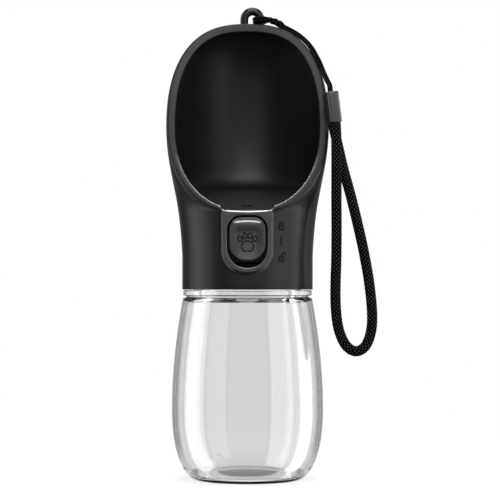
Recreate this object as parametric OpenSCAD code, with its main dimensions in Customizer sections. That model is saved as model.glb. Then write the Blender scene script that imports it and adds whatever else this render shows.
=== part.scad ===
// Dog travel water bottle: a clear bottle with a screw-on scoop head.
// Pressing the head's button opens a valve, and water runs up to the bowl.
// Millimetres. +Z up, the bowl and the button face -Y, the origin is the
// centre of the bottle's foot.

/* [Bottle] */
// Height from the foot to the top of the neck flange
bottle_h = 94.3; // [80:0.1:140]
// Widest diameter, low on the barrel
belly_d = 75.5; // [71:0.1:84]
// Height of the widest ring above the foot
belly_z = 35; // [30:1:45]
// Diameter at the top of the shoulder
shoulder_d = 64.6; // [62:0.1:68]
// Diameter of the ring the bottle stands on
foot_d = 52; // [44:0.5:60]
// Wall of the barrel
bottle_wall = 1.6; // [1:0.1:2.2]
// How far the base is pushed in
punt_h = 4; // [2:0.5:8]
// Diameter of the flange under the neck
flange_d = 64.2; // [62:0.1:66]
// Thickness of the flange
flange_t = 2.7; // [1.5:0.1:4]
// Width of the groove under the flange
groove_w = 1; // [0.6:0.1:2]
// Depth of the groove under the flange
groove_depth = 1.4; // [0.6:0.1:2]
// Bore of the neck
neck_bore_d = 48.4; // [46:0.1:50]
// Wall of the neck
neck_wall = 2.4; // [1.8:0.1:2.6]
// Height of the neck above the flange
neck_h = 7.6; // [7:0.1:12]

/* [Thread] */
// Rise of the screw thread in one turn
thread_pitch = 4; // [3.5:0.1:5]
// Height of a thread ridge above its wall
thread_depth = 1.3; // [0.8:0.1:1.4]
// Turns of the ridge on the neck
thread_turns = 1.1; // [0.8:0.05:1.2]

/* [Head] */
// Outer diameter of the head's skirt at its lower edge
skirt_d = 65.2; // [65:0.1:68]
// How much the skirt's radius grows up to the bowl
skirt_flare = 1.5; // [0.5:0.1:3]
// Wall of the skirt round the mechanism
skirt_wall = 3; // [2.4:0.1:3.2]
// Width of the bowl over its rim
bowl_w = 80.4; // [76:0.1:90]
// Height of the rim, from its lowest point to its highest
bowl_h = 96.8; // [85:0.1:110]
// How far back the top of the rim lies from its front
bowl_lean = 48; // [38:0.5:52]
// Width of the rim's face at the sides and top
rim_w = 4.2; // [3:0.1:4.8]
// How far the back of the head bulges behind the top of the rim
back_bulge = 24; // [20:0.5:28]
// Thickness of the bowl's floor
floor_t = 2.2; // [1.8:0.1:2.6]
// Fall of the bowl's floor to the front, per millimetre
floor_slope = 0.25; // [0.2:0.01:0.3]
// Height of the floor's centre above the top of the skirt
floor_rise = 10.2; // [9.5:0.1:12]
// Width of the outlet slot in the floor
outlet_w = 5.2; // [4:0.1:6]
// Length of the outlet slot, front to back
outlet_l = 2.4; // [1.6:0.1:3]
// Distance of the outlet slot in front of the axis
outlet_y = 24; // [22:0.1:25]
// Outer diameter of the hanging eye
eye_d = 12.4; // [11:0.1:15]
// Hole through the hanging eye
eye_hole_d = 4.2; // [3.8:0.1:5]
// How far the eye stands to the right of the middle
eye_x = 2.5; // [0:0.1:5]

/* [Button] */
// Width of the button
button_w = 17.7; // [16:0.1:18]
// Height of the button
button_h = 21.3; // [20:0.1:22]
// Depth of the button's cap
button_t = 4; // [3.5:0.1:4.5]
// Gap round the button in its slot
button_gap = 1; // [0.6:0.1:1.2]
// How far the button is pressed in
press_travel = 2.8; // [2:0.1:2.8]
// How far the button slides down to unlock
lock_travel = 3; // [2.5:0.1:3]
// Width of the raised frame round the slot
surround_w = 1.7; // [1.4:0.1:2.4]
// How far the raised frame stands out of the skirt
surround_out = 2.4; // [1.6:0.1:3]

/* [Inner cap and valve] */
// Thickness of the inner cap's plate
cap_plate_t = 1.5; // [1.2:0.1:2]
// Thickness of the sealing ring on the bottle's lip
gasket_t = 1; // [0.8:0.1:1.5]
// Distance of the valve in front of the axis
valve_y = 5; // [4.6:0.1:5.2]
// Diameter of the valve's rod
stem_d = 3.2; // [2.6:0.1:3.4]
// Diameter of the rubber disc that closes the valve
plug_d = 12.4; // [11:0.1:13]
// Length of the valve's spring at rest
valve_spring_l = 7.3; // [6.5:0.1:8]
// Wire of both springs
spring_wire = 0.6; // [0.5:0.05:0.7]

/* [Lanyard] */
// Thickness of the thin cord through the eye
thread_cord_d = 2.4; // [1.6:0.1:2.4]
// Thickness of the wrist cord
wrist_cord_d = 5.2; // [4:0.1:5.4]
// Width of the crimp sleeve
sleeve_w = 6; // [5.6:0.1:7]
// Depth of the crimp sleeve
sleeve_depth = 11; // [10.6:0.1:12]
// Length of the crimp sleeve
sleeve_l = 15.5; // [12:0.5:18]

/* [Hidden] */
$fn = 96;

// gaps: between bodies that move, between faces that only meet, round a shaft
move_gap = 0.3;
face_gap = 0.05;
shaft_gap = 0.05;
cut = 1;

// levels up the bottle and the head
neck_r = neck_bore_d / 2 + neck_wall;
neck_top = bottle_h + neck_h;
skirt_z = bottle_h + move_gap;
cap_plate_z = neck_top + gasket_t + 2 * face_gap;
cap_top = cap_plate_z + cap_plate_t;
slot_z = cap_top + 0.5;
slot_h = button_h + lock_travel + 1.3;
slot_w = button_w + 2 * button_gap;
slot_top = slot_z + slot_h;
brow = 1.4;
scoop_z = slot_top + brow;

// the skirt, the inner cap in it and the room for the mechanism
skirt_r = skirt_d / 2;
skirt_top_r = skirt_r + skirt_flare;
scoop_foot_r = skirt_top_r - 0.03;
room_r = skirt_r - skirt_wall;
cap_pocket_r = room_r + 0.9;
cap_r = cap_pocket_r - 0.3;
cap_wall_r = neck_r + thread_depth + 0.5;
cap_skirt_z = skirt_z + 0.6;
thread_z = bottle_h + 2;

// how far the barrel's curves keep to the shoulder, the widest ring and the foot
shoulder_run = [2.2, 12];
belly_run_up = 23;
belly_run_down = 15;
foot_run = [9, 3.5];

// the bowl: an egg-shaped rim on a sheet that leans back
rim_power = 2.3;
rim_power_top = 2.45;
inner_power_top = 2.6;
lean_power = 1.4;
lip_rise = 0.7;
rim_z = scoop_z + lip_rise + bowl_h / 2;
rim_low_w = 0.5;
rim_front = skirt_top_r - 0.1;
loop_steps = 48;
wall_steps = 10;
floor_z = scoop_z + floor_rise;
floor_half = [33.5, 31];
floor_y = -0.5;
ceiling_drop = floor_t;
slope_angle = atan(floor_slope);

// the button, its slider and its guide
slot_r = 9;
slot_top_r = 5;
button_r = 7.5;
paw_z = 7;
face_y = -(skirt_r + surround_out);
button_face_y = face_y + 0.6;
button_back_y = button_face_y + button_t;
button_top = slot_top - 0.9;
button_z = button_top - button_h;
button_mid = button_z + button_h / 2;
slider_w = 24.4;
plate_t = 2;
lip_t = 1.3;
plate_y = -sqrt(pow(room_r, 2) - pow(slider_w / 2, 2)) + 0.4;
plate_back_y = plate_y + plate_t;
slider_z = cap_top + lock_travel + move_gap;
slider_top = button_top - 0.3;
boss_w = 12;
boss_z = button_z + 3;
boss_top = button_top - 3.3;
boss_back_y = plate_back_y + 2.2;
spring_well = 7;
window_gap = 0.3;
wing_w = 15.2;
wing_h = 7;
bridge_y = plate_back_y + 8.6;
bridge_t = 1.5;
bridge_z = boss_z + 0.6;
bridge_top = boss_top - 1.4;
arm_in = 8.6;
arm_t = 1.6;
rail_t = 2;
rail_x = slider_w / 2 + 0.3;
rail_z = cap_top + 0.5;
rail_top = slider_top - 0.4;
lip_x = arm_in + arm_t + 0.4;
tie_y = bridge_y - 4.6;
tie_h = 2;
wedge_w = 5;
tab_t = 2;
tab_screw_x = rail_x + 4.8;
tab_screw_y = -17;
detent_z = button_mid - 0.5;
detent_r = 0.8;
leaf_end_drop = 8;

// the valve under its housing
stem_r = stem_d / 2;
seat_bore_r = 4.2;
seat_r = 5.5;
seat_z = cap_plate_z - 0.8;
plug_t = 2;
plug_z = seat_z - 0.2 - plug_t;
stem_foot_r = 3.2;
stem_foot_t = 1.2;
housing_gasket_t = 0.6;
housing_z = cap_top + housing_gasket_t;
housing_h = 7;
housing_r = 8.2;
chamber_r = 6.4;
housing_top = housing_z + housing_h;
collar_z = housing_top + valve_spring_l + 0.2;
collar_t = 1.2;
stem_top = collar_z + collar_t + 1.8;
stem_head_r = 2.6;
valve_spring_r = 3.3;
button_spring_r = 2.6;
pipe_y = 7;
nipple_r = 2.6;
nipple_l = 5;
pipe_bore_r = 1.7;
pipe_r = 4.6;
ear_t = 1.8;
ear_screw_x = 10.9;
air_valve_y = 18;
air_shaft_r = 1.4;
duct_t = 2.8;
duct_wall = 0.7;
seal_t = 0.8;
duct_w = 10;
duct_front = outlet_y + 2;

// screws: [x, y] of each
front_screw = [17.3, -9];
back_screw = [13, 15];
cap_screw_places = [for (at = [front_screw, back_screw], side = [1, -1]) [side * at[0], at[1]]];
screw_r = 1.2;
screw_head_r = 2.4;
screw_head_t = 1.8;
screw_cross = 3;
cap_screw_bite = 7.5;
guide_screw_bite = 4.5;
ear_screw_bite = 2.6;
boss_r = 3;

// the lanyard's routes, chosen by hand
eye_y = 17.2;
eye_z = scoop_z + lip_rise + bowl_h + 2.5;
sleeve_at = [41.8, -13, 184.2];
sleeve_tilt = 7;
sleeve_yaw = 12;
THREAD_ROUTE = [[3.2, 21, 231.6], [3.2, 17, 231.6], [4, 13.8, 231.7], [7, 13, 231.9],
                [11, 13.8, 231.4], [15, 14.8, 230.2], [21.6, 15, 227.2], [26.8, 14.5, 224],
                [31.8, 12.5, 218.9], [35.4, 9.5, 212.4], [37.6, 6, 205.4], [39.4, 1, 200.2],
                [40.3, -6, 197.2], [40.7, -11.5, 194.9]];
WRIST_ROUTE = [[43.7, -15.6, 168], [43.8, -14.8, 155], [43.8, -14, 140], [43.9, -13.5, 125],
               [43.8, -13, 110], [43.4, -13, 96], [43.6, -13, 85], [45, -13, 75],
               [48.5, -13, 67.2], [53.5, -13, 64.2], [58.3, -13, 67], [61, -13, 74.5],
               [61.4, -13, 84], [60, -13, 98], [57.6, -13, 112], [54.8, -12.8, 125],
               [51.2, -12, 140], [47.2, -11, 155], [44.2, -10.4, 168]];

// a point on a cubic Bezier curve, and the unit normal on its right
function bezier(p, t) = pow(1 - t, 3) * p[0] + 3 * pow(1 - t, 2) * t * p[1]
    + 3 * (1 - t) * t * t * p[2] + pow(t, 3) * p[3];
function bezier_run(p, t) = pow(1 - t, 2) * (p[1] - p[0]) + 2 * (1 - t) * t * (p[2] - p[1])
    + t * t * (p[3] - p[2]);
function right_of(v) = [-v[1], v[0]] / norm(v);
function offset_curve(p, d, steps) =
    [for (i = [0:steps]) bezier(p, i / steps) + d * right_of(bezier_run(p, i / steps))];

// power of a number that keeps its sign
function signed_power(v, e) = sign(v) * pow(abs(v), e);

// the bowl's floor, and how far back the rim lies at a height
function floor_at(y) = floor_z + floor_slope * y;
function rim_y(z) = -rim_front + bowl_lean
    * (1 - pow(max(0, 1 - (z - scoop_z - lip_rise) / bowl_h), lean_power));

// the rim's egg: outer edge, and inner edge at the rim's width, at angle a
function rim_point(a, half_w, mid_z, half_h, top_power) =
    let (power = rim_power + (top_power - rim_power) * max(0, sin(a)),
         z = mid_z + half_h * signed_power(sin(a), 2 / power))
    [half_w * signed_power(cos(a), 2 / power), rim_y(z), z];
function rim_outer(a) = rim_point(a, bowl_w / 2, rim_z, bowl_h / 2, rim_power_top);
function rim_inner(a) = rim_point(a, bowl_w / 2 - rim_w, rim_z - (rim_w - rim_low_w) / 2,
    (bowl_h - rim_w - rim_low_w) / 2, inner_power_top);

// the outer skin rises from the skirt's round edge to the rim's outer edge
function skin_curve(a) =
    let (low = [scoop_foot_r * cos(a), scoop_foot_r * sin(a), scoop_z],
         high = rim_outer(a),
         rise = high[2] - low[2],
         back = pow(max(0, sin(a)), 2))
    [low, low + rise * [0.06 * cos(a), 0.06 * sin(a), 0.333],
     high + [0, back * back_bulge, -rise * (0.333 - 0.256 * back)], high];

// the bowl's wall falls from the rim's inner edge to the edge of the floor
function floor_edge(a) =
    let (y = floor_y + floor_half[1] * sin(a))
    [floor_half[0] * cos(a), y, floor_at(y)];
function bowl_curve(a) =
    let (high = rim_inner(a),
         low = floor_edge(a),
         fall = high[2] - low[2],
         back = pow(max(0, sin(a)), 2))
    [high, high + [0, back * (back_bulge - 5), -fall * (0.3 - 0.24 * back)],
     low + fall * [0.05 * cos(a), 0.06 * back, 0.32], low];

// one closed loop of points for each level of the scoop, from the skirt up
// the skin, over the rim and down the bowl to the middle of its floor
function skin_loop(t) = [for (i = [0:loop_steps - 1]) bezier(skin_curve(i * 360 / loop_steps), t)];
sunk_foot_loop = [for (p = skin_loop(0)) [0.97 * p[0], 0.97 * p[1], p[2] - 0.6]];
function bowl_loop(t) = [for (i = [0:loop_steps - 1]) bezier(bowl_curve(i * 360 / loop_steps), t)];
floor_middle = [0, 0, floor_z];
function floor_point(a, s) = floor_middle + s * (floor_edge(a) - floor_middle);
// a parabola rounds the corner between the wall and the floor
fold_start = 0.84;
fold_end = 0.76;
function fold_point(a, s) = pow(1 - s, 2) * bezier(bowl_curve(a), fold_start)
    + 2 * s * (1 - s) * floor_edge(a) + s * s * floor_point(a, fold_end);
function fold_loop(s) = [for (i = [0:loop_steps - 1]) fold_point(i * 360 / loop_steps, s)];

// faces between loops of n points, given as rings of indices
function ring_faces(rings, n) = [for (k = [0:rings - 2], i = [0:n - 1], half = [0, 1])
    let (j = (i + 1) % n, a = k * n + i, b = k * n + j, c = (k + 1) * n + j, d = (k + 1) * n + i)
    half == 0 ? [a, c, b] : [a, d, c]];

// a ridge or wire wound up an axis; its section's [radius, height] points run
// anticlockwise
module wound(section, pitch, turns, turn_steps, start = 0, taper = 1) {
    n = len(section);
    steps = ceil(turns * turn_steps);
    middle = [for (p = section) 1] * section / n;
    points = [for (k = [0:steps], p = section)
        let (a = start + k * turns * 360 / steps,
             q = (k == 0 || k == steps) ? middle + (p - middle) * taper : p)
        [q[0] * cos(a), q[0] * sin(a), q[1] + pitch * k * turns / steps]];
    polyhedron(points, concat([for (f = ring_faces(steps + 1, n)) [f[0], f[2], f[1]]],
        [[for (i = [n - 1:-1:0]) i]], [[for (i = [0:n - 1]) steps * n + i]]));
}

// a coil spring that stands on z = 0
module coil(r, wire, length, turns) {
    section = [for (i = [0:5]) [r + wire / 2 * cos(i * 60), wire / 2 + wire / 2 * sin(i * 60)]];
    wound(section, (length - wire) / turns, turns, 8);
}

// a round tube through a list of points: a smooth curve, two rings a span
function curve_point(p, i, s) =
    let (a = p[max(0, i - 1)], b = p[i], c = p[i + 1], d = p[min(len(p) - 1, i + 2)])
    b + 0.5 * s * ((c - a) + s * ((2 * a - 5 * b + 4 * c - d) + s * (3 * (b - c) + d - a)));
function curve_points(p) =
    concat([for (i = [0:len(p) - 2], s = [0, 0.5]) curve_point(p, i, s)], [p[len(p) - 1]]);
function unit(v) = v / norm(v);
module swept_tube(route, d, sides, first_dir, last_dir, side_dir) {
    path = curve_points(route);
    last = len(path) - 1;
    points = [for (k = [0:last], i = [0:sides - 1])
        let (run = k == 0 ? first_dir : k == last ? last_dir : unit(path[k + 1] - path[k - 1]),
             u = unit(cross(run, side_dir)),
             v = cross(run, u))
        path[k] + d / 2 * (u * cos(i * 360 / sides) + v * sin(i * 360 / sides))];
    polyhedron(points, concat(ring_faces(last + 1, sides), [[for (i = [0:sides - 1]) i]],
        [[for (i = [sides - 1:-1:0]) last * sides + i]]));
}

// an upright rectangle with round corners, lower and upper radius apart
module slot_outline(w, h, r_low, r_high) {
    translate([-w / 2, r_low]) square([w, h - r_low - r_high]);
    translate([-w / 2 + r_low, 0]) square([w - 2 * r_low, h / 2]);
    translate([-w / 2 + r_high, h / 2]) square([w - 2 * r_high, h / 2]);
    for (side = [-1, 1]) translate([side * (w / 2 - r_low), r_low]) circle(r_low);
    if (r_high > 0)
        for (side = [-1, 1]) translate([side * (w / 2 - r_high), h - r_high]) circle(r_high);
}

// an outline in X and Z, carried back from y along +Y
module facing(y, depth) {
    translate([0, y + depth, 0]) rotate([90, 0, 0]) linear_extrude(depth) children();
}

module bored_tube(r_out, r_in, h) {
    difference() {
        cylinder(r = r_out, h = h);
        translate([0, 0, -cut]) cylinder(r = r_in, h = h + 2 * cut);
    }
}

// ---- the bottle ----

module bottle() {
    shoulder_top = bottle_h - flange_t - groove_w - 0.4;
    barrel_up = [[shoulder_d / 2, shoulder_top],
                 [shoulder_d / 2 + shoulder_run[0], shoulder_top - shoulder_run[1]],
                 [belly_d / 2, belly_z + belly_run_up], [belly_d / 2, belly_z]];
    barrel_down = [[belly_d / 2, belly_z], [belly_d / 2, belly_z - belly_run_down],
                   [foot_d / 2 + foot_run[0], foot_run[1]], [foot_d / 2, 0]];
    steps = 9;
    outer_down = concat(offset_curve(barrel_up, 0, steps),
        [for (i = [1:steps]) bezier(barrel_down, i / steps)]);
    inner_up = offset_curve(barrel_up, -bottle_wall, steps);
    inner_low = offset_curve(barrel_down, -bottle_wall, steps);
    inner_down = concat([for (i = [1:steps]) inner_up[i]], [for (i = [1:steps - 2]) inner_low[i]]);
    groove_r = min(flange_d, shoulder_d) / 2 - groove_depth;
    base_t = punt_h + bottle_wall;
    punt = [for (i = [0:6]) [(foot_d / 2 - 2) * (1 - i / 6), punt_h * (1 - pow(1 - i / 6, 2))]];
    outer = concat([[neck_bore_d / 2, neck_top], [neck_r - 0.4, neck_top], [neck_r, neck_top - 0.4],
        [neck_r, bottle_h], [flange_d / 2 - 0.4, bottle_h], [flange_d / 2, bottle_h - 0.4],
        [flange_d / 2, bottle_h - flange_t], [groove_r, bottle_h - flange_t],
        [groove_r, bottle_h - flange_t - groove_w], [shoulder_d / 2 - 0.5, bottle_h - flange_t - groove_w]],
        outer_down, punt);
    inner = concat([[0, base_t + 0.4]], [[foot_d / 2 - 4, base_t - 1.4]],
        [for (i = [len(inner_down) - 1:-1:0]) inner_down[i]],
        [[shoulder_d / 2 - 3.2, shoulder_top - bottle_wall - 0.6],
         [neck_bore_d / 2 + 1, shoulder_top - bottle_wall],
         [neck_bore_d / 2, shoulder_top - bottle_wall + 1]]);
    color([0.85, 0.9, 0.92, 0.4]) {
        rotate_extrude() polygon(concat(outer, inner));
        neck_thread();
    }
}

// the ridge on the neck; the one in the cap is its like, half a turn on
function ridge(r, out) = [[r - 0.3 * out, -0.85], [r + thread_depth * out, -0.45],
    [r + thread_depth * out, 0.45], [r - 0.3 * out, 0.85]];
module neck_thread() {
    translate([0, 0, thread_z]) wound(ridge(neck_r, 1), thread_pitch, thread_turns, 24, 0, 0.7);
}

module cap_gasket() {
    color([0.85, 0.85, 0.83])
        translate([0, 0, neck_top + face_gap]) bored_tube(neck_r + 0.3, neck_bore_d / 2 - 0.4, gasket_t);
}

// ---- the head ----

// the scoop: one closed skin over a flat foot sunk in the top of the skirt
module scoop() {
    loops = concat(
        [sunk_foot_loop],
        [for (k = [0:wall_steps]) skin_loop(k / wall_steps)],
        [for (k = [0:wall_steps]) bowl_loop(fold_start * k / wall_steps)],
        [for (k = [1:4]) fold_loop(k / 4)]);
    n = loop_steps;
    rings = len(loops);
    points = concat([for (loop = loops, p = loop) p], [floor_middle]);
    foot = [[for (i = [0:n - 1]) i]];
    middle_fan = [for (i = [0:n - 1]) [(rings - 1) * n + i, rings * n, (rings - 1) * n + (i + 1) % n]];
    polyhedron(points, concat(foot, ring_faces(rings, n), middle_fan));
}

// the skirt's outside: straight at its foot, then flared up to the scoop
module skirt_solid() {
    steps = 6;
    straight = 16;
    flare_h = scoop_z - skirt_z - straight;
    side = [for (i = [0:steps])
        [skirt_r + skirt_flare * pow(i / steps, 1.3), skirt_z + straight + flare_h * i / steps]];
    rotate_extrude() polygon(concat([[0, skirt_z], [skirt_r - 0.3, skirt_z], [skirt_r, skirt_z + 0.3]],
        side, [[0, scoop_z]]));
}

module surround() {
    w = slot_w + 2 * surround_w;
    translate([0, 0, slot_z - surround_w - 0.5]) facing(face_y, skirt_r)
        slot_outline(w, scoop_z - slot_z + surround_w + 0.5, slot_r + surround_w, 0);
}

// the room for the mechanism, closed by a ceiling that follows the floor
module room() {
    translate([0, 0, skirt_z - cut]) cylinder(r = cap_pocket_r, h = cap_top - skirt_z + cut);
    room_h = floor_at(room_r) - cap_top;
    difference() {
        translate([0, 0, cap_top - cut]) cylinder(r = room_r, h = room_h);
        along_ceiling() translate([-room_r - cut, -2 * room_r, 0])
            cube([2 * (room_r + cut), 4 * room_r, room_h]);
    }
}

// a screw boss that hangs from the ceiling down to z, to the back of any slope
module hanging_boss(at, z) {
    translate([at[0], at[1], z]) cylinder(r = boss_r, h = floor_at(at[1]) - ceiling_drop + 1 - z, $fn = 48);
}

module bowl_shell() {
    color([0.16, 0.16, 0.17]) {
        difference() {
            union() {
                difference() {
                    union() {
                        skirt_solid();
                        scoop();
                        surround();
                    }
                    room();
                }
                for (at = cap_screw_places) hanging_boss(at, cap_top);
                for (side = [-1, 1]) hanging_boss([side * tab_screw_x, tab_screw_y], rail_top);
            }
            translate([0, 0, slot_z]) facing(face_y - cut, plate_y - face_y)
                slot_outline(slot_w, slot_h, slot_r, slot_top_r);
            translate([0, -outlet_y, 0])
                outlet_hole(floor_at(-outlet_y) - ceiling_drop - cut, ceiling_drop + 3 * cut);
            for (at = cap_screw_places) pilot(at, cap_top, cap_screw_bite + 0.5);
            for (side = [-1, 1])
                pilot([side * tab_screw_x, tab_screw_y], rail_top, guide_screw_bite + 0.5);
        }
        translate([eye_x, eye_y, eye_z]) rotate([90, 0, 0]) hanging_eye();
    }
}

// a blind hole for a screw, up from z
module pilot(at, z, depth) {
    translate([at[0], at[1], z - cut]) cylinder(r = screw_r + shaft_gap, h = depth + cut, $fn = 32);
}

// a lens-shaped hole, outlet_w wide and outlet_l long, from z up
module outlet_hole(z, h) {
    r = (pow(outlet_w / 2, 2) + pow(outlet_l / 2, 2)) / outlet_l;
    translate([0, 0, z]) linear_extrude(h) intersection() {
        translate([0, r - outlet_l / 2]) circle(r);
        translate([0, outlet_l / 2 - r]) circle(r);
    }
}

module hanging_eye() {
    bar = (eye_d - eye_hole_d) / 4;
    rotate_extrude($fn = 48) translate([eye_hole_d / 2 + bar, 0]) circle(bar, $fn = 24);
}

// ---- the inner cap and the valve ----

module inner_cap() {
    inward_ridge = [for (i = [3:-1:0]) ridge(cap_wall_r, -1)[i]];
    color([0.2, 0.2, 0.21]) difference() {
        union() {
            translate([0, 0, cap_skirt_z]) bored_tube(cap_r, cap_wall_r, cap_plate_z - cap_skirt_z + 0.2);
            translate([0, 0, cap_plate_z]) cylinder(r = cap_r, h = cap_plate_t);
            translate([0, 0, thread_z])
                wound(inward_ridge, thread_pitch, thread_turns, 24, 180, 0.7);
            for (side = [-1, 1])
                translate([side * ear_screw_x, -valve_y, cap_plate_z - ear_screw_bite - 0.9])
                    cylinder(r = 2.6, h = ear_screw_bite + 0.9 + cap_plate_t / 2, $fn = 48);
        }
        plate_hole([0, -valve_y], seat_r + shaft_gap, 96);
        plate_hole([0, air_valve_y], air_shaft_r + 0.1, 32);
        for (at = cap_screw_places) plate_hole(at, screw_r + 0.2, 32);
        for (side = [-1, 1])
            translate([side * ear_screw_x, -valve_y, cap_plate_z - ear_screw_bite - 0.2])
                cylinder(r = screw_r + shaft_gap, h = ear_screw_bite + cap_plate_t + cut, $fn = 32);
    }
}

// a round hole right through the inner cap's plate
module plate_hole(at, r, sides) {
    translate([at[0], at[1], cap_plate_z - cut]) cylinder(r = r, h = cap_plate_t + 2 * cut, $fn = sides);
}

module valve_seat() {
    color([0.8, 0.8, 0.78]) translate([0, -valve_y, seat_z]) difference() {
        union() {
            cylinder(r = seat_r + 1.3, h = cap_plate_z - seat_z);
            cylinder(r = seat_r, h = cap_top - seat_z + 0.5);
            translate([0, 0, cap_top - seat_z]) cylinder(r = chamber_r - 0.2, h = 0.5);
        }
        translate([0, 0, -cut]) cylinder(r = seat_bore_r, h = cap_top - seat_z + 3);
    }
}

module valve_plug() {
    color([0.75, 0.75, 0.73]) translate([0, -valve_y, plug_z]) difference() {
        union() {
            cylinder(r1 = plug_d / 2 - 0.8, r2 = plug_d / 2, h = 0.8);
            translate([0, 0, 0.8]) cylinder(r = plug_d / 2, h = plug_t - 0.8);
        }
        translate([0, 0, -cut]) cylinder(r = stem_r + shaft_gap, h = plug_t + 2 * cut, $fn = 48);
    }
}

module valve_stem() {
    foot_z = plug_z - stem_foot_t;
    head_z = collar_z + collar_t;
    color([0.9, 0.9, 0.88]) translate([0, -valve_y, 0]) {
        translate([0, 0, foot_z]) cylinder(r = stem_foot_r, h = stem_foot_t, $fn = 48);
        translate([0, 0, foot_z]) cylinder(r = stem_r, h = stem_top - foot_z, $fn = 48);
        translate([0, 0, head_z]) cylinder(r = stem_head_r, h = stem_top - head_z, $fn = 48);
    }
}

module stem_collar() {
    color([0.7, 0.7, 0.72]) translate([0, -valve_y, collar_z])
        bored_tube(valve_spring_r + 0.9, stem_r + shaft_gap, collar_t);
}

module stem_o_ring() {
    ring_r = 0.7;
    color([0.1, 0.1, 0.1]) translate([0, -valve_y, housing_top - 0.1 - ring_r])
        rotate_extrude($fn = 48) translate([stem_r + shaft_gap + ring_r, 0]) circle(ring_r, $fn = 24);
}

module valve_spring() {
    color([0.75, 0.76, 0.78]) translate([0, -valve_y, housing_top + 0.1])
        coil(valve_spring_r, spring_wire, valve_spring_l, 5);
}

module valve_housing() {
    color([0.2, 0.2, 0.21]) translate([0, 0, housing_z]) difference() {
        union() {
            translate([0, -valve_y, 0]) cylinder(r = housing_r, h = housing_h);
            translate([0, pipe_y, 0]) cylinder(r = pipe_r, h = housing_h, $fn = 48);
            translate([0, pipe_y, 0]) cylinder(r = nipple_r, h = housing_h + nipple_l, $fn = 48);
            translate([-pipe_r, -valve_y, 0]) cube([2 * pipe_r, valve_y + pipe_y, housing_h]);
            translate([-ear_screw_x - screw_head_r, -valve_y - 3, 0])
                cube([2 * (ear_screw_x + screw_head_r), 6, ear_t]);
        }
        translate([0, -valve_y, -cut]) cylinder(r = chamber_r, h = housing_h - 1);
        translate([0, -valve_y, -cut]) cylinder(r = stem_r + 0.1, h = housing_h + 2 * cut, $fn = 48);
        translate([0, -valve_y, housing_h - 1.6]) cylinder(r = stem_r + 1.55, h = 3, $fn = 48);
        translate([0, pipe_y, 1.5]) cylinder(r = pipe_bore_r, h = housing_h + nipple_l, $fn = 32);
        translate([0, -valve_y, 3.4]) rotate([-90, 0, 0]) cylinder(r = 1.6, h = valve_y + pipe_y, $fn = 32);
        for (side = [-1, 1])
            translate([side * ear_screw_x, -valve_y, -cut])
                cylinder(r = screw_r + 0.1, h = ear_t + 2 * cut, $fn = 32);
    }
}

module housing_gasket() {
    color([0.3, 0.3, 0.3]) translate([0, -valve_y, cap_top])
        bored_tube(housing_r, chamber_r + 0.2, housing_gasket_t);
}

module water_tube() {
    tube_r = nipple_r + 1.4;
    low = housing_top + face_gap;
    high = duct_under(pipe_y - tube_r) - face_gap;
    color([0.9, 0.9, 0.92]) translate([0, pipe_y, low]) bored_tube(tube_r, nipple_r + shaft_gap, high - low);
}

// height of the duct's underside, and a frame that lies along the ceiling
function duct_under(y) = floor_at(y) - ceiling_drop - seal_t - duct_t / cos(slope_angle);
module along_ceiling() {
    translate([0, 0, floor_z - ceiling_drop]) rotate([slope_angle, 0, 0]) children();
}

module outlet_duct() {
    front = duct_front / cos(slope_angle);
    back = (pipe_y + nipple_r + 0.9) / cos(slope_angle);
    under = duct_under(pipe_y);
    color([0.2, 0.2, 0.21]) difference() {
        union() {
            along_ceiling() translate([-duct_w / 2, -front, -seal_t - duct_t])
                cube([duct_w, front + back, duct_t]);
            translate([0, pipe_y, under - nipple_l - 1]) cylinder(r = nipple_r, h = nipple_l + 2, $fn = 48);
        }
        along_ceiling()
            translate([-duct_w / 2 + 2 * duct_wall, -front + 1, -seal_t - duct_t + duct_wall])
                cube([duct_w - 4 * duct_wall, front + back - 2, duct_t - 2 * duct_wall]);
        translate([0, -outlet_y, 0]) outlet_hole(floor_at(-outlet_y) - ceiling_drop - seal_t - 1.5, 4);
        translate([0, pipe_y, under - nipple_l - 2])
            cylinder(r = pipe_bore_r, h = nipple_l + 2.9 + duct_wall, $fn = 32);
    }
}

module outlet_seal() {
    front = duct_front / cos(slope_angle);
    color([0.3, 0.3, 0.3]) difference() {
        along_ceiling() translate([-duct_w / 2, -front, -seal_t]) cube([duct_w, 6, seal_t]);
        translate([0, -outlet_y, 0]) outlet_hole(floor_at(-outlet_y) - ceiling_drop - 2 * seal_t - cut, 5);
    }
}

module air_valve() {
    color([0.35, 0.35, 0.36]) translate([0, air_valve_y, cap_plate_z]) {
        translate([0, 0, -0.8]) cylinder(r = 4, h = 0.8, $fn = 48);
        cylinder(r = air_shaft_r, h = cap_plate_t, $fn = 32);
        translate([0, 0, cap_plate_t]) cylinder(r1 = 2.2, r2 = 0.9, h = 2, $fn = 32);
    }
}

// ---- the button and its lock ----

// side view of the wedge behind the button: its ramp is at 45 degrees
module wedge() {
    tip_y = -valve_y - stem_head_r + 1;
    tip_z = stem_top + lock_travel + 1.45;
    ramp = press_travel + 1.65;
    foot_y = bridge_y + bridge_t + 0.6;
    arm_z = bridge_top + 0.4;
    arm_top = arm_z + 3;
    root_y = boss_back_y - 1.1;
    translate([-wedge_w / 2, 0, 0]) rotate([90, 0, 90]) linear_extrude(wedge_w)
        polygon([[foot_y, tip_z - ramp], [tip_y - ramp, tip_z - ramp], [tip_y, tip_z],
                 [tip_y, arm_top], [root_y, arm_top], [root_y, arm_z], [foot_y, arm_z]]);
}

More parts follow.
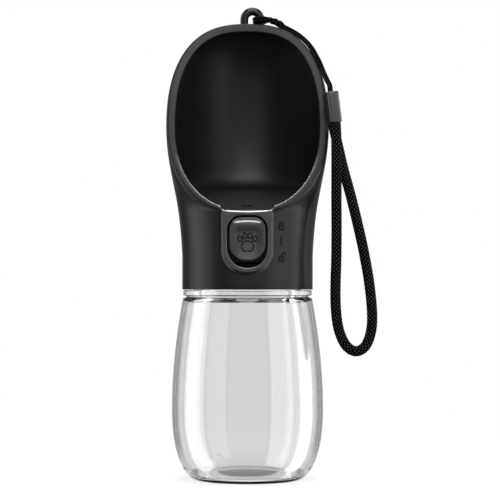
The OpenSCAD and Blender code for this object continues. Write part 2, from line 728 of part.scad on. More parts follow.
module push_button() {
    ridge_z = button_top - 4.2;
    dip_r = 8.2;
    color([0.2, 0.2, 0.21]) difference() {
        union() {
            translate([0, 0, button_z]) facing(button_face_y, button_t)
                slot_outline(button_w, button_h, button_r, slot_top_r);
            translate([-boss_w / 2, button_back_y - 0.5, boss_z])
                cube([boss_w, boss_back_y - button_back_y + 0.5, boss_top - boss_z]);
            translate([-wing_w / 2, plate_back_y + move_gap, button_mid - wing_h / 2])
                cube([wing_w, 1.4, wing_h]);
            wedge();
        }
        translate([0, button_face_y + 0.8 - dip_r, ridge_z - 3]) rotate([0, 90, 0])
            cylinder(r = dip_r, h = button_w - 3, center = true);
        translate([0, boss_back_y - spring_well, button_mid]) rotate([-90, 0, 0])
            cylinder(r = button_spring_r + 0.7, h = spring_well + 2 * cut, $fn = 48);
        translate([0, button_face_y, button_z + paw_z]) rotate([90, 0, 0]) paw();
    }
}

// a plain paw print: one broad pad and four toes, cut 0.3 deep
module paw() {
    translate([0, 0, -0.3]) linear_extrude(1) {
        difference() {
            circle(3);
            circle(2.5);
        }
        for (toe = [[-4, 2.6], [-1.5, 4.6], [1.5, 4.6], [4, 2.6]]) translate(toe) difference() {
            circle(1.2, $fn = 32);
            circle(0.8, $fn = 32);
        }
    }
}

module button_spring() {
    low = boss_back_y - spring_well + 0.1;
    color([0.75, 0.76, 0.78]) translate([0, low, button_mid]) rotate([-90, 0, 0])
        coil(button_spring_r, spring_wire, bridge_y - 0.1 - low, 6);
}

module lock_slider() {
    window_w = boss_w + 2 * window_gap;
    window_h = boss_top - boss_z + 2 * window_gap;
    bridge_h = bridge_top - bridge_z;
    color([0.25, 0.25, 0.26]) difference() {
        union() {
            translate([-slider_w / 2, plate_y, slider_z]) cube([slider_w, plate_t, slider_top - slider_z]);
            for (side = [-1, 1])
                translate([side * (arm_in + arm_t / 2) - arm_t / 2, plate_back_y - 0.5, bridge_z])
                    cube([arm_t, bridge_y + bridge_t - plate_back_y + 0.5, bridge_h]);
            translate([-arm_in - arm_t, bridge_y, bridge_z]) cube([2 * (arm_in + arm_t), bridge_t, bridge_h]);
            translate([0, bridge_y - 2.5, button_mid]) rotate([-90, 0, 0])
                cylinder(r = button_spring_r - 0.7, h = 3, $fn = 48);
        }
        translate([-window_w / 2, plate_y - cut, boss_z - window_gap])
            cube([window_w, plate_t + 2 * cut, window_h]);
        for (rise = [0, lock_travel])
            translate([-arm_in, bridge_y - 0.5, detent_z + rise]) rotate([0, 90, 0])
                cylinder(r = detent_r + 0.3, h = 4, $fn = 32);
    }
}

module detent_spring() {
    leaf_w = 3;
    leaf_x = -arm_in + 0.4;
    color([0.72, 0.73, 0.75]) {
        translate([leaf_x, bridge_y - 1.7, rail_z + tie_h])
            cube([leaf_w, 0.4, button_top - leaf_end_drop - rail_z]);
        translate([leaf_x, bridge_y - 1.2, detent_z]) rotate([0, 90, 0])
            cylinder(r = detent_r, h = leaf_w, $fn = 32);
    }
}

module button_guide() {
    rail_y = plate_back_y - 0.9;
    rail_back = bridge_y + bridge_t + 1.2;
    rail_h = rail_top - rail_z;
    lip_w = rail_x + 0.5 - lip_x;
    color([0.3, 0.3, 0.31]) difference() {
        union() {
            for (side = [-1, 1]) {
                translate([side * (rail_x + rail_t / 2) - rail_t / 2, rail_y, rail_z])
                    cube([rail_t, rail_back - rail_y, rail_h]);
                translate([side * (lip_x + lip_w / 2) - lip_w / 2, plate_back_y + move_gap, rail_z])
                    cube([lip_w, lip_t, rail_h]);
                translate([side * (tab_screw_x - 0.6) - 4, tab_screw_y - 3, rail_top - tab_t])
                    cube([8, 6, tab_t]);
            }
            translate([-rail_x - 0.5, tie_y, rail_z]) cube([2 * rail_x + 1, 4, tie_h]);
        }
        for (side = [-1, 1])
            translate([side * tab_screw_x, tab_screw_y, rail_top - tab_t - cut])
                cylinder(r = screw_r + 0.2, h = tab_t + 2 * cut, $fn = 32);
    }
}

// ---- the screws ----

// a screw with its head's seat at z = 0, its shank upward
module screw(length) {
    translate([0, 0, -screw_head_t]) difference() {
        cylinder(r = screw_head_r, h = screw_head_t, $fn = 48);
        for (turn = [0, 90]) rotate(turn) translate([-screw_cross / 2, -screw_cross / 10, -cut])
            cube([screw_cross, screw_cross / 5, cut + 0.8]);
    }
    translate([0, 0, -0.1]) cylinder(r = screw_r, h = length + 0.1, $fn = 32);
}

module cap_screws() {
    color([0.7, 0.71, 0.73]) for (at = cap_screw_places)
        translate([at[0], at[1], cap_plate_z]) screw(cap_plate_t + cap_screw_bite);
}

module guide_screws() {
    color([0.7, 0.71, 0.73]) for (side = [-1, 1])
        translate([side * tab_screw_x, tab_screw_y, rail_top - tab_t]) screw(tab_t + guide_screw_bite);
}

module housing_screws() {
    length = ear_t + housing_gasket_t + cap_plate_t + ear_screw_bite;
    color([0.7, 0.71, 0.73]) for (side = [-1, 1])
        translate([side * ear_screw_x, -valve_y, housing_z + ear_t]) rotate([180, 0, 0]) screw(length);
}

// ---- the lanyard ----

sleeve_dir = [-sin(sleeve_tilt), 0, cos(sleeve_tilt)];
strand_step = 0.5 * (wrist_cord_d + 0.4);

// the middle of the sleeve's upper or lower end, shifted front to back
function sleeve_end(up, back = 0) = sleeve_at + up * sleeve_l / 2 * sleeve_dir
    + back * strand_step * [-sin(sleeve_yaw) * cos(sleeve_tilt), cos(sleeve_yaw),
                            -sin(sleeve_yaw) * sin(sleeve_tilt)];

module lanyard_thread() {
    color([0.1, 0.1, 0.1]) swept_tube(concat(THREAD_ROUTE, [sleeve_end(1)]),
        thread_cord_d, 8, [0, -1, 0], -sleeve_dir, [0.5, 0.3, 1]);
}

module cord_sleeve() {
    color([0.22, 0.22, 0.23]) translate(sleeve_at) rotate([0, -sleeve_tilt, 0]) rotate(sleeve_yaw)
        translate([0, 0, -sleeve_l / 2]) linear_extrude(sleeve_l) sleeve_outline();
}

module sleeve_outline() {
    r = 1;
    square([sleeve_w - 2 * r, sleeve_depth], center = true);
    square([sleeve_w, sleeve_depth - 2 * r], center = true);
    for (side = [-1, 1], end = [-1, 1])
        translate([side * (sleeve_w / 2 - r), end * (sleeve_depth / 2 - r)]) circle(r, $fn = 24);
}

module wrist_cord() {
    color([0.08, 0.08, 0.08]) swept_tube(concat([sleeve_end(-1, -1)], WRIST_ROUTE, [sleeve_end(-1, 1)]),
        wrist_cord_d, 10, -sleeve_dir, sleeve_dir, [0, 1, 0]);
}

bottle();
cap_gasket();
bowl_shell();
inner_cap();
valve_seat();
valve_plug();
valve_stem();
stem_collar();
stem_o_ring();
valve_spring();
valve_housing();
housing_gasket();
water_tube();
outlet_duct();
outlet_seal();
air_valve();
lock_slider();
push_button();
button_spring();
button_guide();
detent_spring();
cap_screws();
guide_screws();
housing_screws();
lanyard_thread();
cord_sleeve();
wrist_cord();
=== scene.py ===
"""Dog travel water bottle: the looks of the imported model.

The frame is in metres with +Z up, and the bowl's opening and the button face -Y. Shapes are worked out in
millimetres, which piece() and cut_mesh() turn into metres.
"""
import math

import bmesh
import bpy
import numpy as np
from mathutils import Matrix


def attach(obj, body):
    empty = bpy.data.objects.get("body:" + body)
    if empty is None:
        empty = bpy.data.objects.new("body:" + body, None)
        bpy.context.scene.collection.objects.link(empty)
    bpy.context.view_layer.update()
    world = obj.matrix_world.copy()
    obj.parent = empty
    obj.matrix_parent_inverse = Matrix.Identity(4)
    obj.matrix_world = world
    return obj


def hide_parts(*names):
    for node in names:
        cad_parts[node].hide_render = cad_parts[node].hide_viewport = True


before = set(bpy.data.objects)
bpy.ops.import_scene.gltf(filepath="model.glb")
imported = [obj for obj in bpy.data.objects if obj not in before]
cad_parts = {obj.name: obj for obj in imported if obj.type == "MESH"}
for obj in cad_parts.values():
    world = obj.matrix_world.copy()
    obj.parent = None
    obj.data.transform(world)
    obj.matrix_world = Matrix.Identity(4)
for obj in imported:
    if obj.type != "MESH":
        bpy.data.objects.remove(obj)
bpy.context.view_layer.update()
scene = bpy.context.scene
scene.view_settings.view_transform = "Standard"


# ---- Studio ----
# A level camera 0.93 m in front of the bottle, on a pale floor in a white
# room: a tall soft box and a weaker one on each side, one overhead, one high
# in front and a wide, dim panel behind the camera.
eye_x, eye_y, eye_z = 0.00125, -0.93, 0.0944
frame_w, frame_shift = 0.25, 0.08  # the picture's width at the bottle's axis, and its shift up as a share
camera = bpy.data.objects.new("camera", bpy.data.cameras.new("camera"))
camera.data.lens = camera.data.sensor_width * -eye_y / frame_w
camera.data.shift_y = frame_shift
camera.location = (eye_x, eye_y, eye_z)
camera.rotation_euler = (math.pi / 2, 0, 0)
scene.collection.objects.link(camera)
scene.camera = camera


class Shade:
    """A value in a node tree. Arithmetic on it adds Math nodes, and node() adds any other node."""

    def __init__(self, tree, socket=None):
        self.tree, self.socket = tree, socket

    def node(self, kind, settings={}, sockets={}, out=0):
        """Adds a node: its settings first, then each socket's value or link. Returns one of its outputs."""
        made = self.tree.nodes.new("ShaderNode" + kind)
        for name, value in settings.items():
            setattr(made, name, value)
        for name, value in sockets.items():
            if isinstance(value, Shade):
                self.tree.links.new(value.socket, made.inputs[name])
            else:
                made.inputs[name].default_value = value
        return Shade(self.tree, made.outputs[out])

    def math(self, operation, *values):
        return self.node("Math", {"operation": operation}, dict(enumerate(values)))

    def __add__(self, other):
        return self.math("ADD", self, other)

    def __rsub__(self, other):
        return self.math("SUBTRACT", other, self)

    def __mul__(self, other):
        return self.math("MULTIPLY", self, other)

    def __pow__(self, other):
        return self.math("POWER", self, other)

    __radd__, __rmul__ = __add__, __mul__

    def between(self, low, high):
        """A smooth step: 0 below low, 1 above high."""
        return self.node("MapRange", {"interpolation_type": "SMOOTHSTEP"}, {0: self, 1: low, 2: high})

    def mix(self, low, high):
        """A colour: low where this value is 0, high where it is 1."""
        return self.node("Mix", {"data_type": "RGBA"}, {0: self, 6: low, 7: high}, 2)

    def xyz(self):
        """The three parts of a vector."""
        split = self.node("SeparateXYZ", {}, {0: self})
        return [Shade(self.tree, out) for out in split.socket.node.outputs]

    def noise(self, scale, detail):
        """A noise pattern on these coordinates."""
        return self.node("TexNoise", {}, {"Vector": self, "Scale": scale, "Detail": detail})

    def mark(self, name):
        """The value that a piece gives its points under that name."""
        return self.node("Attribute", {"attribute_name": name}, out=2)

    def light_path(self):
        """What the Light Path node says, by name, and a value that is 1 for what the camera sees, also
        through clear plastic."""
        outputs = self.node("LightPath").socket.node.outputs
        says = {socket.name: Shade(self.tree, socket) for socket in outputs}
        return says, self.math("MAXIMUM", says["Is Camera Ray"], says["Is Transmission Ray"])


def soft_box(name, place, aim, size, glow, through=True):
    """An area lamp of that width and height at place, turned to aim. Glow is its radiance, and through says
    that it can be seen through the clear bottle."""
    lamp = bpy.data.lights.new(name, "AREA")
    lamp.shape, lamp.size, lamp.size_y = "RECTANGLE", *size
    lamp.energy = glow * math.pi * size[0] * size[1]
    made = bpy.data.objects.new(name, lamp)
    made.location = place
    way_x, way_y, way_z = (end - start for start, end in zip(place, aim))
    made.rotation_euler = (math.atan2(math.hypot(way_x, way_y), -way_z), 0, math.atan2(-way_x, way_y))
    made.visible_transmission = through
    scene.collection.objects.link(made)


# the side boxes go on below the floor, so that their mirror images run down the whole barrel
side_z, side_high = 0.03, 2.66
for name, azimuth, far, width, glow in (  # azimuth is in degrees from the front, positive to the right
        ("left_box", -97.3, 1.15, 0.52, 2.7), ("right_box", 101.5, 1.15, 0.58, 4.2),
        ("left_fill", -76.5, 1.3, 0.32, 2.2), ("right_fill", 54.5, 1.3, 0.87, 1.9)):
    angle = math.radians(azimuth)
    place = (far * math.sin(angle), -far * math.cos(angle), side_z)
    soft_box(name, place, (0, 0, side_z), (width, side_high), glow)
soft_box("front_box", (0, -1.0, 1.05), (0, 0, 0.15), (0.9, 1.0), 4.5, through=False)
soft_box("front_panel", (0, -1.7, 0.0), (0, 0, 0.0), (1.9, 1.7), 0.6, through=False)
soft_box("top_box", (0, 0.15, 1.35), (0, 0.15, 0), (0.8, 0.6), 6.0, through=False)

# the room is white to the camera, nearly black in mirror images but for what lies behind, and a dim light
world = bpy.data.worlds.new("white_room")
scene.world = world
world.use_nodes = True
air = Shade(world.node_tree)
says, seen = air.light_path()
glossy = says["Is Glossy Ray"]
behind = air.node("TexCoord").xyz()[1].between(0.85, 0.93)
mirror_image, dim_light = 0.04 + 0.5 * behind, 0.25
level = seen + (1 - seen) * (glossy * mirror_image + (1 - glossy) * dim_light)
room = world.node_tree.nodes["Background"]
air.tree.links.new(level.socket, room.inputs["Strength"])
room.inputs["Color"].default_value = (1, 1, 1, 1)

# the floor glows white to the camera but for a shade near the bottle and a painted shadow, a dark disc under
# the pushed-in base
floor_half, floor_z = 4, -0.0003
floor_mesh = bpy.data.meshes.new("floor")
corners = [(x * floor_half, y * floor_half, floor_z) for x, y in ((-1, -1), (1, -1), (1, 1), (-1, 1))]
floor_mesh.from_pydata(corners, [], [(0, 1, 2, 3)])
floor = bpy.data.objects.new("floor", floor_mesh)
scene.collection.objects.link(floor)
paper = bpy.data.materials.new("white_paper")
paper.use_nodes = True
floor_mesh.materials.append(paper)
sheet = Shade(paper.node_tree)
says, seen = sheet.light_path()
at_x, at_y, _ = sheet.node("TexCoord", out=3).xyz()
far_squared = at_x * at_x + at_y * at_y
near = sheet.math("EXPONENT", far_squared * -18.0)
# painted shadow: a disc of dark floor colour, with less glow, under the pushed-in base
under = 1 - (far_squared ** 0.5).between(0.015, 0.017)
grey = under.mix(seen.mix((0.3, 0.3, 0.3, 1), (0.95, 0.95, 0.95, 1)), (0.02, 0.02, 0.02, 1))
lit = sheet.node("BsdfDiffuse", {}, {"Color": grey})
white = sheet.node("Emission", {}, {"Color": (1, 1, 1, 1), "Strength": 1.0})
blend = sheet.node("MixShader", {}, {0: seen * (1 - 0.3 * near) * (1 - 0.9 * under), 1: lit, 2: white})
mirrored = sheet.math("GREATER_THAN", says["Glossy Depth"], 0.5)  # mirrored rays see through the floor
blend = sheet.node("MixShader", {}, {0: mirrored, 1: blend, 2: sheet.node("BsdfTransparent")})
sheet.tree.links.new(blend.socket, sheet.tree.nodes["Material Output"].inputs["Surface"])


# ---- Bottle ----
# One piece of clear blown plastic, 1.6 mm thick, with a pushed-in base, a
# flange under the neck and a one-start screw thread.
def bezier(points, t):
    """(1-t)^3 A + 3(1-t)^2 t B + 3(1-t) t^2 C + t^3 D, for one curve or one curve a column."""
    a, b, c, d = points
    return (1 - t) ** 3 * a + 3 * (1 - t) ** 2 * t * b + 3 * (1 - t) * t * t * c + t ** 3 * d


def filleted(corners, radii, steps=4):
    """An open line with round corners: a corner C becomes (1-s)^2 A + 2s(1-s) C + s^2 B, with A and B a
    radius from C."""
    c = np.asarray(corners, float)
    r = np.broadcast_to(np.asarray(radii, float), len(c) - 2)[:, None]
    side = np.diff(c, axis=0)
    side = side / np.linalg.norm(side, axis=1, keepdims=True)
    a, b = c[1:-1] - r * side[:-1], c[1:-1] + r * side[1:]
    s = np.linspace(0, 1, steps + 1)[:, None]
    arcs = (1 - s) ** 2 * a[:, None] + 2 * s * (1 - s) * c[1:-1][:, None] + s * s * b[:, None]
    line = np.vstack([c[:1], arcs.reshape(-1, c.shape[1]), c[-1:]])
    apart = np.linalg.norm(np.diff(line, axis=0), axis=1) > 1e-5
    return line[np.concatenate([[True], apart])]


def grid_faces(rows, columns, wrap_rows=False):
    """Quads between the neighbours of a grid of points whose columns close. Rows that go up, with columns
    anticlockwise, face outwards."""
    i = np.arange(rows if wrap_rows else rows - 1)[:, None]
    j = np.arange(columns)[None, :]
    up, on = (i + 1) % rows, (j + 1) % columns
    quads = np.stack([i * columns + j, i * columns + on, up * columns + on, up * columns + j], -1)
    return quads.reshape(-1, 4)


def closed_grid(grid, wrap_rows=False):
    """Points and faces of a grid whose columns close. Unless its rows close too, a fan to the middle closes
    each end."""
    rows, columns = grid.shape[:2]
    points, faces = grid.reshape(-1, 3), grid_faces(rows, columns, wrap_rows).tolist()
    if not wrap_rows:
        j = np.arange(columns)
        k, first, last = (j + 1) % columns, rows * columns, (rows - 1) * columns
        points = np.vstack([points, grid[0].mean(0), grid[-1].mean(0)])
        faces += np.stack([k, j, 0 * j + first], 1).tolist()
        faces += np.stack([last + j, last + k, 0 * j + first + 1], 1).tolist()
    return points, faces


def together(sets):
    """Several sets of points and faces as one."""
    starts = np.cumsum([0] + [len(points) for points, _ in sets])
    return (np.vstack([points for points, _ in sets]),
            [[k + start for k in face] for start, (_, faces) in zip(starts, sets) for face in faces])


def piece(name, points, faces, material, body, slot, replaced=(), sharp=35, marks={}):
    """Makes a mesh piece from points in millimetres, smooth but for edges over sharp degrees, and seats it in
    the frame. Marks are values a point that its material reads."""
    mesh = bpy.data.meshes.new(name)
    mesh.from_pydata((np.asarray(points) * 0.001).tolist(), [], faces)
    mesh.shade_smooth()
    mesh.set_sharp_from_angle(angle=math.radians(sharp))
    for mark, values in marks.items():
        mesh.attributes.new(mark, "FLOAT", "POINT").data.foreach_set("value", np.asarray(values, np.float32))
    mesh.materials.append(material)
    made = bpy.data.objects.new(name, mesh)
    scene.collection.objects.link(made)
    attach(made, body)
    if replaced:
        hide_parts(*replaced)
    return made


def turned(profile, columns):
    """A grid of a profile of [radius, height] points turned about Z: x = r cos a, y = r sin a."""
    a = np.linspace(0, 2 * math.pi, columns, endpoint=False)
    r, z = profile[:, :1], profile[:, 1:]
    return np.stack([r * np.cos(a), r * np.sin(a), z + 0 * a], -1)


def finish(name, colour, roughness, **constants):
    """A material with one main shader. Returns it, the shader, and the object's own coordinates, from which
    its patterns are worked out."""
    material = bpy.data.materials.new(name)
    material.use_nodes = True
    shader = material.node_tree.nodes["Principled BSDF"]
    constants.update(Base_Color=(*colour, 1), Roughness=roughness)
    for socket, value in constants.items():
        shader.inputs[socket.replace("_", " ")].default_value = value
    return material, shader, Shade(material.node_tree).node("TexCoord", out=3)


def feed(shader, **values):
    """Links values to the shader's sockets; a height goes through a Bump node of that depth to Normal."""
    for socket, value in values.items():
        if socket == "height":
            height, depth = value
            value = height.node("Bump", {}, {"Strength": 1, "Distance": depth, "Height": height})
            socket = "Normal"
        shader.id_data.links.new(value.socket, shader.inputs[socket.replace("_", " ")])


belly_r, foot_r, wall, punt_r, punt_high = 37.75, 26, 1.6, 24, 4
neck_in, neck_out, lip_z, flange_r = 24.2, 26.6, 101.9, 32.1
barrel_up = np.array([[32.3, 90.2], [34.5, 78.2], [belly_r, 58], [belly_r, 35]])
barrel_down = np.array([[belly_r, 35], [belly_r, 20], [35, 3.5], [foot_r, 0]])
t = np.linspace(0, 1, 33)[:, None]
outside = np.vstack([bezier(barrel_up, t), bezier(barrel_down, t)[1:]])
run = np.gradient(outside, axis=0)
inside = outside + wall * np.stack([run[:, 1], -run[:, 0]], 1) / np.linalg.norm(run, axis=1, keepdims=True)
inside = inside[1:-9]  # ends where the thicker base begins
s = np.linspace(0, 1, 13)[:, None]
punt = np.hstack([punt_r * (1 - s), punt_high * (1 - (1 - s) ** 2)])[:-1]
low_r, low_z = inside[-1]
inner_floor = bezier(np.array([[0.6, 6], [12, 6], [24, 4.2], [low_r - 2.6, low_z - 3.4]]), s)
shoulder = filleted([[30.3, 88.1], [neck_in + 1, 88.9], [neck_in, 89.3]], [0.6])
neck = filleted([[neck_in, 89.2], [neck_in, lip_z], [neck_out, lip_z], [neck_out, lip_z - 1]], [0.5, 0.5])
thread_rows = np.stack([np.full(48, neck_out), np.linspace(100.8, 94.9, 48)], 1)
flange = filleted([[neck_out, 94.8], [neck_out, 94.3], [flange_r, 94.3], [flange_r, 91.6], [30.7, 91.6],
                   [30.7, 90.6], [31.9, 90.6], [32.3, 90.1]], [0.3, 0.5, 0.4, 0.2, 0.2, 0.3], 5)
profile = np.vstack([inner_floor, inside[::-1], shoulder, neck, thread_rows, flange, outside[1:], punt])
grid = turned(profile, 240)

# the thread's ridge rises a lead a turn; its flanks slope from 0.85 to 0.45 mm off its middle line
thread_low, thread_lead, thread_turns, thread_deep = 96.3, 4, 1.1, 1.3
angle, height = np.arctan2(grid[..., 1], grid[..., 0]) % (2 * math.pi), grid[..., 2]
ridge = np.zeros(height.shape)
for turn in (0, 1):
    along = angle / (2 * math.pi) + turn
    ends = np.clip(np.minimum(along, thread_turns - along) / 0.03, 0, 1)
    off_line = abs(height - thread_low - thread_lead * along)
    ridge = np.maximum(ridge, ends * np.clip((0.85 - off_line) / 0.4, 0, 1))
on_neck = abs(np.hypot(grid[..., 0], grid[..., 1]) - neck_out) < 0.01
grid[..., :2] *= 1 + (ridge * on_neck * thread_deep / neck_out)[..., None]

clear, shader, place = finish("clear_plastic", (0.805, 0.805, 0.805), 0.02, IOR=1.49, Transmission_Weight=1.0)
# painted shade: the base colour goes dark grey where the wall is seen edge-on, above the foot
painted_edge_shade = place.node("LayerWeight", {}, {"Blend": 0.5}, 1).between(0.6, 0.82)
above_foot = place.xyz()[2].between(0.003, 0.02)
feed(shader, Base_Color=(painted_edge_shade * above_foot).mix((0.805, 0.805, 0.803, 1), (0.1, 0.1, 0.1, 1)),
     height=(place.noise(45.0, 1.0), 0.00002))
points, faces = closed_grid(grid[::-1])
piece("clear_bottle", points, faces, clear, "bottle", "clear_plastic", ["bottle"], 50)


# ---- Scoop head ----
# One satin black moulding: a round skirt that goes over the neck, and the
# drinking bowl that leans back above it. The wall is 3 mm round the works.
skirt_low, scoop_z, rim_low, bowl_z, ceiling_z = 94.6, 132.0, 132.7, 142.2, 140.0
skirt_out, skirt_in, works_r, cone_z, cone_high, cone_out = 32.6, 30.5, 29.6, 110.6, 21.4, 1.5
sheet_front, sheet_deep, sheet_high, sag, sag_half = -34, 48, 96.8, 0.5, 11.5
floor_w, floor_deep, floor_shift, slope, back_dip, front_dip = 33.5, 31, -0.5, 0.25, 2.3, 1.0


def eased(t):
    """A smooth step: 3t^2 - 2t^3 of t held between 0 and 1."""
    t = np.clip(t, 0, 1)
    return t * t * (3 - 2 * t)


def skirt_r(z):
    """The skirt's radius: 32.6, and 1.5 s^1.3 more above 110.6, with s from 0 to 1 up to 132."""
    return skirt_out + cone_out * np.maximum(0, (np.asarray(z, float) - cone_z) / cone_high) ** 1.3


def rim_loop(half_w, middle_z, half_h, top_power, a):
    """The egg: x = W sgn(cos a)|cos a|^(2/n), z = Z + H sgn(sin a)|sin a|^(2/n), on a sheet y(z) that leans
    back. The power n is 2.3 and grows to top_power with sin a."""
    power = 2 / (2.3 + (top_power - 2.3) * np.maximum(0, np.sin(a)))
    x = half_w * np.sign(np.cos(a)) * abs(np.cos(a)) ** power
    z = middle_z + half_h * np.sign(np.sin(a)) * abs(np.sin(a)) ** power
    y = sheet_front + sheet_deep * (1 - np.maximum(0, 1 - (z - rim_low) / sheet_high) ** 1.4)
    return np.stack([x, y, z], -1)


def steps_between(start, end, shares):
    """Rows of points from start to end at these shares of the way."""
    s = np.asarray(shares, float)[:, None, None]
    return (1 - s) * start + s * end


def soft_corner(before, corner, after, reach, steps=5):
    """Rows of the curve (1-s)^2 A + 2s(1-s) C + s^2 B round a corner line C, with A and B a reach from it."""
    away = [(side - corner) / np.maximum(np.linalg.norm(side - corner, axis=-1, keepdims=True), 1e-9)
            for side in (before, after)]
    a, b = (corner + d * np.asarray(reach)[..., None] for d in away)
    s = np.linspace(0, 1, steps + 1)[:, None, None]
    return (1 - s) ** 2 * a + 2 * s * (1 - s) * corner + s * s * b


a = np.linspace(0, 2 * math.pi, 320, endpoint=False)
unit_x, unit_y, zero = np.cos(a), np.sin(a), 0 * a
back = np.maximum(0, unit_y) ** 2


def hoop(r, z):
    """A level row of points on a circle."""
    return np.stack([r * unit_x, r * unit_y, z + zero], -1)


rim_out, rim_in = rim_loop(40.45, 181.1, 48.7, 2.56, a), rim_loop(36.0, 179.25, 46.05, 2.6, a)
for line, low in ((rim_out, 131.9), (rim_in, 132.35)):  # over the button the rim runs down into the frame
    near = eased((13.2 - abs(line[:, 0])) / 1.6) * (unit_y < 0)
    line[:, 2] += near * (low + sag * (line[:, 0] / sag_half) ** 2 - line[:, 2])
rise = (rim_out[:, 2] - scoop_z)[:, None]
foot = hoop(skirt_r(scoop_z), scoop_z)
skin = [foot, foot + rise * np.stack([0.06 * unit_x, 0.06 * unit_y, 0.333 + zero], -1),
        rim_out + np.stack([zero, 24 * back, -rise[:, 0] * (0.333 - 0.256 * back)], -1), rim_out]
floor_y = floor_shift + floor_deep * unit_y
at_back, at_front = (np.clip((sign * unit_y - 0.3) / 0.7, 0, 1) ** 1.5 for sign in (1, -1))
edge_z = bowl_z + slope * floor_y - back_dip * at_back - front_dip * at_front
floor_edge = np.stack([floor_w * unit_x, floor_y, edge_z], -1)
fall = (rim_in[:, 2] - edge_z)[:, None]
bowl = [rim_in, rim_in + np.stack([zero, 19 * back, -fall[:, 0] * (0.3 - 0.24 * back)], -1),
        floor_edge + fall * np.stack([0.05 * unit_x, 0.1 * back, 0.32 + zero], -1), floor_edge]

# the rim's outer edge is round and its inner edge nearly sharp, and neither takes up a whole face
rim_w = np.linalg.norm(rim_in - rim_out, axis=1)
skin_l = 3 * np.linalg.norm(skin[3] - skin[2], axis=1)
bowl_l = 3 * np.linalg.norm(bowl[1] - bowl[0], axis=1)
edge = np.minimum(np.minimum(1.1 + 1.4 * abs(unit_x), 0.56 * rim_w), 0.3 * skin_l)
lip = np.minimum(np.minimum(0.6, 0.3 * rim_w), 0.3 * bowl_l)
bowl_end = 0.9
t_skin = np.linspace(0, 1, 46)[:, None, None] * (1 - edge / skin_l)[:, None]
lip_share = (lip / bowl_l)[:, None]
t_bowl = lip_share + np.linspace(0, 1, 44)[:, None, None] * (bowl_end - lip_share)
wall_end = bezier(bowl, bowl_end)
floor_middle = np.array([0, 0, bowl_z])
floor_in = floor_middle + 0.82 * (floor_edge - floor_middle)
s = np.linspace(0, 1, 15)[1:, None, None]
fold = (1 - s) ** 2 * wall_end + 2 * s * (1 - s) * floor_edge + s * s * floor_in

ceiling = hoop(works_r, ceiling_z + slope * works_r * unit_y - back_dip * at_back)
ceiling_middle = np.array([0, 0, ceiling_z])
inside_rows = np.concatenate([
    steps_between(ceiling_middle + 0 * ceiling, ceiling, (0.02, 0.3, 0.6, 0.85, 0.97, 1)),
    [hoop(works_r, 104.5), hoop(skirt_in, 104.5)]])
skirt_rows = [hoop(r, skirt_low + up) for r, up in (
    (skirt_in, 0.3), (skirt_in, 0.05), (skirt_in + 0.25, 0),
    (skirt_out - 0.4, 0), (skirt_out - 0.12, 0.12), (skirt_out, 0.4))]
skirt_rows += [hoop(skirt_r(z), z) for z in (98, 102, 106, *np.linspace(cone_z, scoop_z, 16)[:-1])]
rows = np.concatenate([
    inside_rows, skirt_rows, bezier(skin, t_skin),
    soft_corner(skin[2], rim_out, rim_in, edge, 9), soft_corner(rim_out, rim_in, bowl[1], lip, 6),
    bezier(bowl, t_bowl)[1:], fold,
    steps_between(floor_in, floor_middle + 0 * floor_in, (0.12, 0.28, 0.45, 0.62, 0.8, 0.92, 0.985))])

# the crease where the bowl's skin leaves the skirt is eased, but not behind the button's frame
seam = len(inside_rows) + len(skirt_rows)
near = np.exp(-((np.arange(len(rows)) - seam) / 5.0) ** 2)[1:-1, None, None]
at_frame = np.clip(-unit_y * 8 - 6.2, 0, 1)[None, :, None]
for _ in range(60):
    rows[1:-1] += 0.5 * near * (1 - at_frame) * (0.5 * (rows[:-2] + rows[2:]) - rows[1:-1])

shell_black, shader, place = finish("satin_black_shell", (0.008, 0.008, 0.0085), 0.42, Specular_IOR_Level=0.3,
                                    Coat_Roughness=0.2, Coat_IOR=4.0)
grain, cloud = place.noise(2600.0, 2.0), place.noise(40.0, 3.0)
feed(shader, Base_Color=cloud.mix((0.005, 0.005, 0.0052, 1), (0.008, 0.008, 0.0082, 1)),
     Coat_Weight=place.mark("worn"), Roughness=0.36 + 0.08 * cloud + 0.04 * grain, height=(grain, 0.000012))
points, faces = closed_grid(rows)
shell = piece("scoop_shell", points, faces, shell_black, "head", "shell_black", ["bowl_shell"], 40)


def outline(width, low, high, r_low, r_high, corner=10, side=8):
    """A rectangle with round corners as [x, z] points, anticlockwise from its lower right corner."""
    turn = np.linspace(0, math.pi / 2, corner)
    corners = []
    for k, (sx, sz, r) in enumerate([(1, -1, r_low), (1, 1, r_high), (-1, 1, r_high), (-1, -1, r_low)]):
        middle_x, middle_z = sx * (width / 2 - r), (high - r if sz > 0 else low + r)
        angle = turn + (k - 1) * math.pi / 2
        corners.append(np.stack([middle_x + r * np.cos(angle), middle_z + r * np.sin(angle)], 1))
    share = np.linspace(0, 1, side + 2)[1:-1, None]
    following = corners[1:] + corners[:1]
    sides = [this[-1] + share * (after[0] - this[-1]) for this, after in zip(corners, following)]
    return np.vstack([part for both in zip(corners, sides) for part in both])


def standing(line, y):
    """[x, z] points stood up at depth y."""
    return np.stack([line[:, 0], y + 0 * line[:, 0], line[:, 1]], 1)


def cut_mesh(source, operation, name, sections):
    """The mesh of an object cut by the closed form between two sections, or kept only inside it."""
    points, faces = closed_grid(np.stack(sections))
    mesh = bpy.data.meshes.new(name)
    mesh.from_pydata((points * 0.001).tolist(), [], faces)
    cutter = bpy.data.objects.new(name, mesh)
    scene.collection.objects.link(cutter)
    cut = source.modifiers.new(name, "BOOLEAN")
    cut.operation, cut.solver, cut.object = operation, "EXACT", cutter
    bpy.context.view_layer.update()
    made = bpy.data.meshes.new_from_object(source.evaluated_get(bpy.context.evaluated_depsgraph_get()))
    source.modifiers.remove(cut)
    bpy.data.objects.remove(cutter)
    made.set_sharp_from_angle(angle=math.radians(40))
    return made


